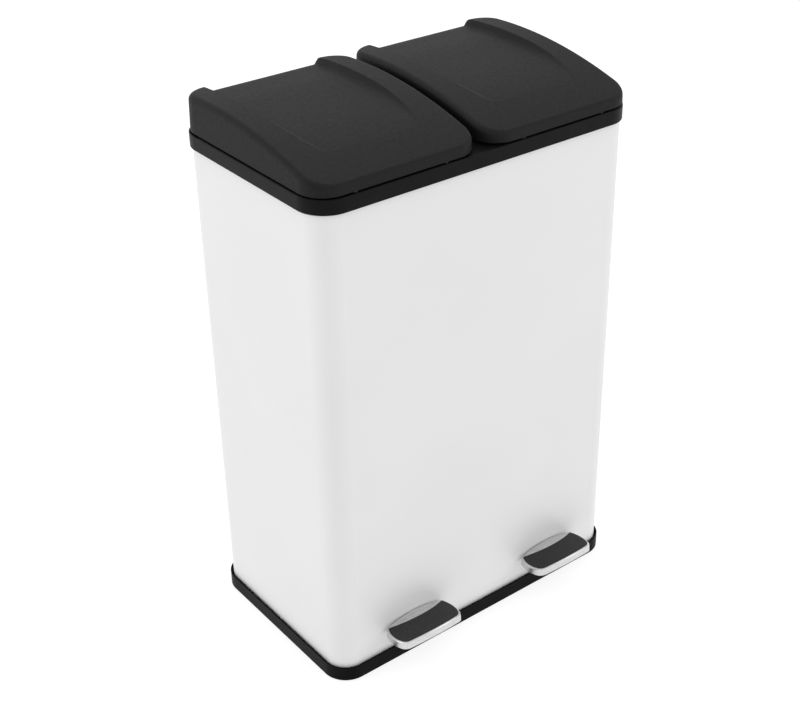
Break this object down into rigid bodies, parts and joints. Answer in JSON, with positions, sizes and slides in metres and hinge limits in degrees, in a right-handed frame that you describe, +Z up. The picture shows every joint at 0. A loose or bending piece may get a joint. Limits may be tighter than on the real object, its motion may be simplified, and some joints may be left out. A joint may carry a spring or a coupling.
{
  "type": "double recycling bin",
  "caption": "Upright pedal bin with a painted steel body, two arched hinged lids over lift-out buckets, and a foot pedal, lever and push rod for each lid.",
  "frame": {"origin": "middle of the whole footprint, pedals included, on the floor", "axes": "+Z up, pedals face -Y, hinges are at +Y, +X to the right seen from the pedals"},
  "size_m": [0.418, 0.299, 0.642],
  "materials": {
    "white_paint": "satin white powder coat",
    "black_moulding": "smooth black moulding",
    "grained_lid": "fine spark-eroded grain",
    "satin_silver": "satin pressed steel",
    "tread_rubber": "matte grained rubber",
    "zinc_steel": "bright zinc plate",
    "natural_nylon": "moulded",
    "bucket_plastic": "dark grey moulding",
    "black_rubber": "matte"
  },
  "bodies": {
    "frame": {"body_shell": "white_paint", "base_tray": "black_moulding", "top_collar": "black_moulding", "bucket_platform": "black_moulding", "platform_screws": "zinc_steel", "base_screws": "zinc_steel", "collar_screws": "zinc_steel", "hinge_washers": "zinc_steel", "lid_bumpers": "black_rubber", "foot_front_left": "black_rubber", "foot_front_right": "black_rubber", "foot_rear_left": "black_rubber", "foot_rear_right": "black_rubber", "hinge_pin_left": "zinc_steel", "hinge_pin_right": "zinc_steel", "lever_axle_left": "zinc_steel", "lever_axle_right": "zinc_steel", "axle_clip_left": "zinc_steel", "axle_clip_right": "zinc_steel", "rod_guide_left": "natural_nylon", "rod_guide_right": "natural_nylon"},
    "lid_left_body": {"lid_left": "grained_lid"},
    "lid_right_body": {"lid_right": "grained_lid"},
    "pedal_left_body": {"pedal_plate_left": "satin_silver", "pedal_pad_left": "tread_rubber", "pedal_rivets_left": "zinc_steel", "pedal_lever_left": "zinc_steel", "lever_bush_left": "natural_nylon"},
    "pedal_right_body": {"pedal_plate_right": "satin_silver", "pedal_pad_right": "tread_rubber", "pedal_rivets_right": "zinc_steel", "pedal_lever_right": "zinc_steel", "lever_bush_right": "natural_nylon"},
    "push_rod_left_body": {"push_rod_left": "zinc_steel", "rod_cap_left": "natural_nylon"},
    "push_rod_right_body": {"push_rod_right": "zinc_steel", "rod_cap_right": "natural_nylon"},
    "bucket_left_body": {"bucket_left": "bucket_plastic"},
    "bucket_right_body": {"bucket_right": "bucket_plastic"}
  },
  "joints": [
    {"name": "lid_left_hinge", "type": "hinge", "parent": "frame", "child": "lid_left_body", "pos_m": [-0.1059, 0.13625, 0.608], "axis": [-1, 0, 0], "range_deg": [0, 70]},
    {"name": "lid_right_hinge", "type": "hinge", "parent": "frame", "child": "lid_right_body", "pos_m": [0.1059, 0.13625, 0.608], "axis": [-1, 0, 0], "range_deg": [0, 70]},
    {"name": "pedal_left_press", "type": "hinge", "parent": "frame", "child": "pedal_left_body", "pos_m": [-0.1025, -0.02108, 0.04145], "axis": [1, 0, 0], "range_deg": [0, 10]},
    {"name": "pedal_right_press", "type": "hinge", "parent": "frame", "child": "pedal_right_body", "pos_m": [0.1025, -0.02108, 0.04145], "axis": [1, 0, 0], "range_deg": [0, 10]},
    {"name": "push_rod_left_rise", "type": "slide", "parent": "frame", "child": "push_rod_left_body", "axis": [0, 0, 1], "range_m": [0, 0.024]},
    {"name": "push_rod_right_rise", "type": "slide", "parent": "frame", "child": "push_rod_right_body", "axis": [0, 0, 1], "range_m": [0, 0.024]},
    {"name": "bucket_left_lift", "type": "slide", "parent": "frame", "child": "bucket_left_body", "axis": [0, 0, 1], "range_m": [0, 0.015]},
    {"name": "bucket_right_lift", "type": "slide", "parent": "frame", "child": "bucket_right_body", "axis": [0, 0, 1], "range_m": [0, 0.015]}
  ],
  "couplings": [
    {"joint": "pedal_left_press", "follows": "lid_left_hinge", "ratio": 0.14285},
    {"joint": "push_rod_left_rise", "follows": "lid_left_hinge", "m_per_rad": 0.01964},
    {"joint": "pedal_right_press", "follows": "lid_right_hinge", "ratio": 0.14285},
    {"joint": "push_rod_right_rise", "follows": "lid_right_hinge", "m_per_rad": 0.01964}
  ]
}
